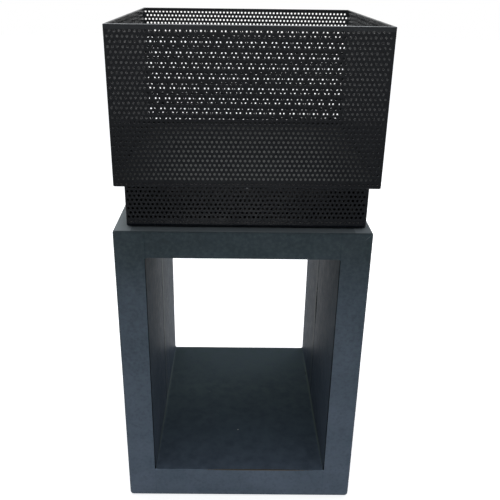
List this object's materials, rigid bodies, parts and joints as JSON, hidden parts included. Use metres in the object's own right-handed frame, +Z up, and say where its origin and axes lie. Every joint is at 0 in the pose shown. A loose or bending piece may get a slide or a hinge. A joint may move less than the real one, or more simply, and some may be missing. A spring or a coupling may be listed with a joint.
{
  "type": "fire bowl",
  "caption": "Square perforated steel fire basket on a vented pedestal, resting on a cast stand with a log niche through it.",
  "frame": {"origin": "middle of the stand's underside, on the ground", "axes": "+Z up, -Y towards the front, where the niche opens as it does at the back, +X to the right seen from the front"},
  "size_m": [0.3871, 0.3836, 0.7915],
  "materials": {
    "cast_magnesia": "matt, faintly mottled",
    "coated_steel": "fine-textured black powder coat",
    "tray_steel": "heat-proof black coat",
    "zinc_plated_steel": "bright zinc plate"
  },
  "bodies": {
    "stand": {"stand_body": "cast_magnesia"},
    "bowl": {"basket_wall_front": "coated_steel", "basket_wall_right": "coated_steel", "basket_wall_back": "coated_steel", "basket_wall_left": "coated_steel", "basket_ledge_front": "coated_steel", "basket_ledge_right": "coated_steel", "basket_ledge_back": "coated_steel", "basket_ledge_left": "coated_steel", "pedestal_wall_front": "coated_steel", "pedestal_wall_right": "coated_steel", "pedestal_wall_back": "coated_steel", "pedestal_wall_left": "coated_steel", "pedestal_ledge_front": "coated_steel", "pedestal_ledge_right": "coated_steel", "pedestal_ledge_back": "coated_steel", "pedestal_ledge_left": "coated_steel", "pedestal_pan": "coated_steel", "screw_front": "zinc_plated_steel", "screw_right": "zinc_plated_steel", "screw_back": "zinc_plated_steel", "screw_left": "zinc_plated_steel", "washer_front": "zinc_plated_steel", "washer_right": "zinc_plated_steel", "washer_back": "zinc_plated_steel", "washer_left": "zinc_plated_steel", "nut_front": "zinc_plated_steel", "nut_right": "zinc_plated_steel", "nut_back": "zinc_plated_steel", "nut_left": "zinc_plated_steel"},
    "tray": {"fire_tray": "tray_steel"}
  },
  "joints": [
    {"name": "bowl_lift", "type": "slide", "parent": "stand", "child": "bowl", "axis": [0, 0, 1], "range_m": [0, 0.12]},
    {"name": "tray_lift", "type": "slide", "parent": "bowl", "child": "tray", "axis": [0, 0, 1], "range_m": [0, 0.25]}
  ]
}
